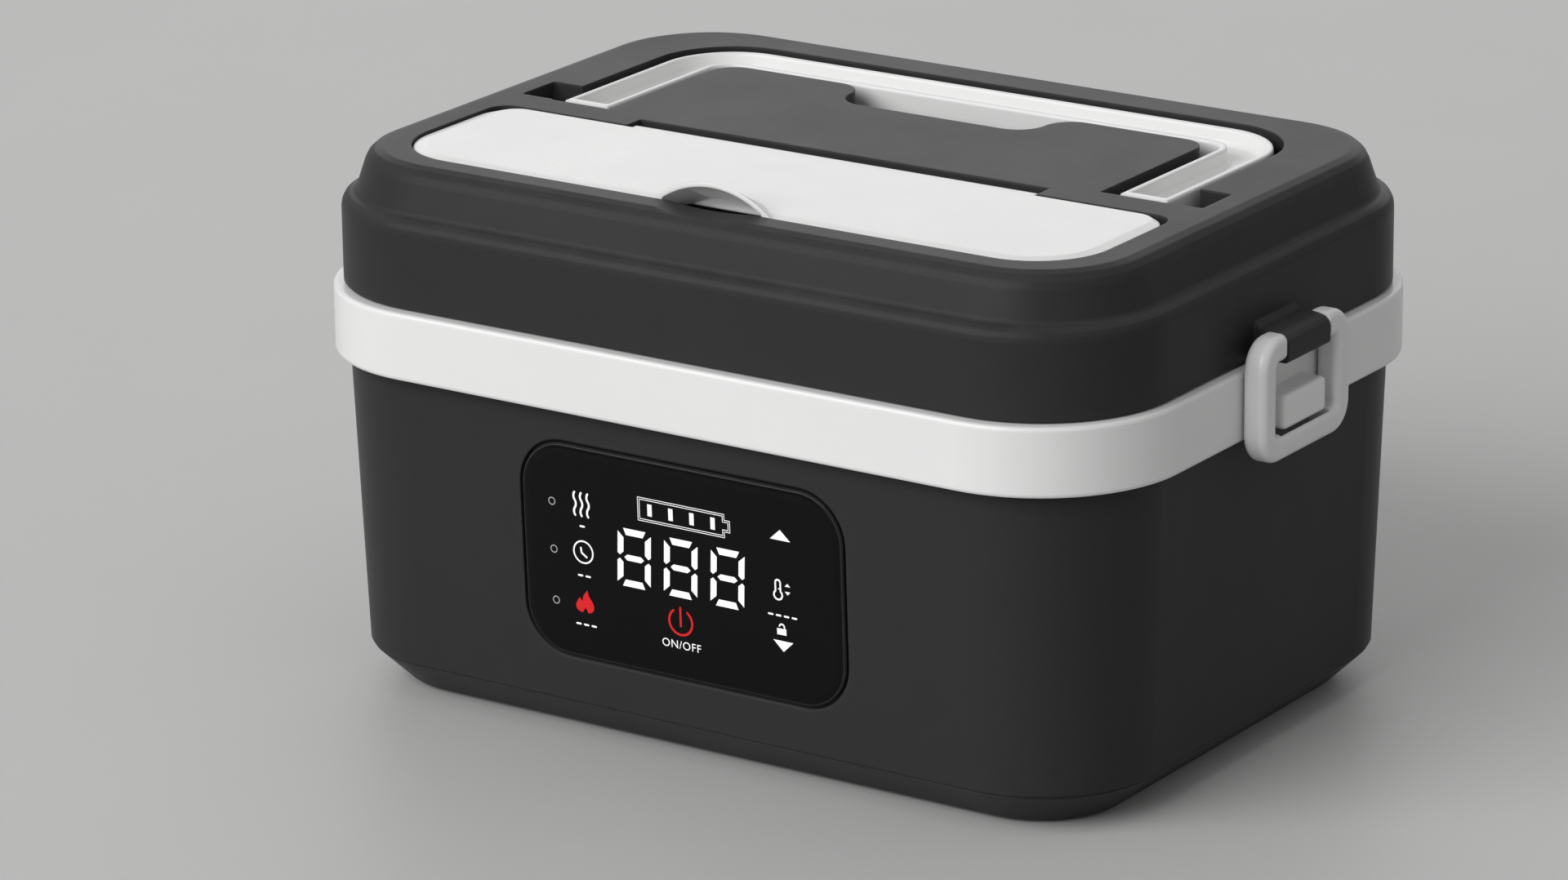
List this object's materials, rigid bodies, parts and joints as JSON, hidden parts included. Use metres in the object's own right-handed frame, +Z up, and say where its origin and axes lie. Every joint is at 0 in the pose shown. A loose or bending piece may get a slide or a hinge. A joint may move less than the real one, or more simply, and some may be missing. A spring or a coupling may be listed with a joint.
{
  "type": "electric lunch box",
  "caption": "Battery-heated lunch box with a lift-off lid held by side latches, a folding carry handle, a cutlery compartment and a steel food container.",
  "frame": {"origin": "centre of the footprint, on the surface that the feet stand on", "axes": "+X to the right along the front, +Y to the back, +Z up; the control panel faces -Y"},
  "size_m": [0.2542, 0.175, 0.1456],
  "materials": {
    "graphite_plastic": "fine satin, soft-touch",
    "white_plastic": "satin",
    "latch_plastic": "satin",
    "panel_glass": "polished black",
    "stainless_steel": "brushed",
    "aluminium": "drawn",
    "shield_steel": "plated",
    "hardware_steel": "plated",
    "foot_rubber": "matte",
    "silicone": "soft matte",
    "heater_foil": "etched foil",
    "fibre_mat": "fibre felt",
    "sensor_metal": "plated",
    "ceramic_white": "glazed",
    "tray_plastic": "moulded",
    "cell_wrap": "shrink wrap",
    "nickel_strip": "rolled",
    "circuit_board": "solder mask",
    "component_black": "moulded",
    "display_plastic": "moulded"
  },
  "bodies": {
    "root": {"outer_housing": "graphite_plastic", "base_cover": "graphite_plastic", "rubber_feet": "foot_rubber", "base_screws": "hardware_steel", "collar_ring": "white_plastic", "heated_well": "aluminium", "heating_plate": "aluminium", "heating_element": "heater_foil", "insulation_mat": "fibre_mat", "heat_shield": "shield_steel", "temperature_sensor": "sensor_metal", "thermal_fuse": "ceramic_white", "battery_tray": "tray_plastic", "battery_cells": "cell_wrap", "cell_links": "nickel_strip", "main_board": "circuit_board", "board_components": "component_black", "display_board": "circuit_board", "led_display": "display_plastic", "control_panel": "panel_glass", "panel_gasket": "foot_rubber", "charge_socket": "component_black", "socket_nut": "sensor_metal"},
    "container": {"food_container": "stainless_steel"},
    "lid": {"lid_shell": "graphite_plastic", "lid_liner": "white_plastic", "lid_seal": "silicone", "lid_screws": "hardware_steel", "cutlery_tray": "white_plastic", "cover_pin": "hardware_steel", "handle_pins": "hardware_steel", "latch_pins": "hardware_steel"},
    "handle": {"carry_handle": "white_plastic"},
    "cover": {"cutlery_cover": "white_plastic"},
    "latch_right": {"latch_right": "latch_plastic"},
    "latch_left": {"latch_left": "latch_plastic"}
  },
  "joints": [
    {"name": "lid_lift", "type": "slide", "parent": "root", "child": "lid", "axis": [0, 0, 1], "range_m": [0, 0.05]},
    {"name": "container_lift", "type": "slide", "parent": "root", "child": "container", "axis": [0, 0, 1], "range_m": [0, 0.03]},
    {"name": "handle_fold", "type": "hinge", "parent": "lid", "child": "handle", "pos_m": [0, 0.001, 0.13215], "axis": [1, 0, 0], "range_deg": [0, 90]},
    {"name": "cover_hinge", "type": "hinge", "parent": "lid", "child": "cover", "pos_m": [0, -0.0142, 0.13695], "axis": [-1, 0, 0], "range_deg": [0, 85]},
    {"name": "latch_right_swing", "type": "hinge", "parent": "lid", "child": "latch_right", "pos_m": [0.1238, 0, 0.1097], "axis": [0, -1, 0], "range_deg": [0, 165]},
    {"name": "latch_left_swing", "type": "hinge", "parent": "lid", "child": "latch_left", "pos_m": [-0.1238, 0, 0.1097], "axis": [0, 1, 0], "range_deg": [0, 165]}
  ],
  "couplings": [
    {"joint": "container_lift", "follows": "lid_lift", "ratio": 0.6},
    {"joint": "latch_right_swing", "follows": "lid_lift", "rad_per_m": 57.59},
    {"joint": "latch_left_swing", "follows": "lid_lift", "rad_per_m": 57.59}
  ]
}
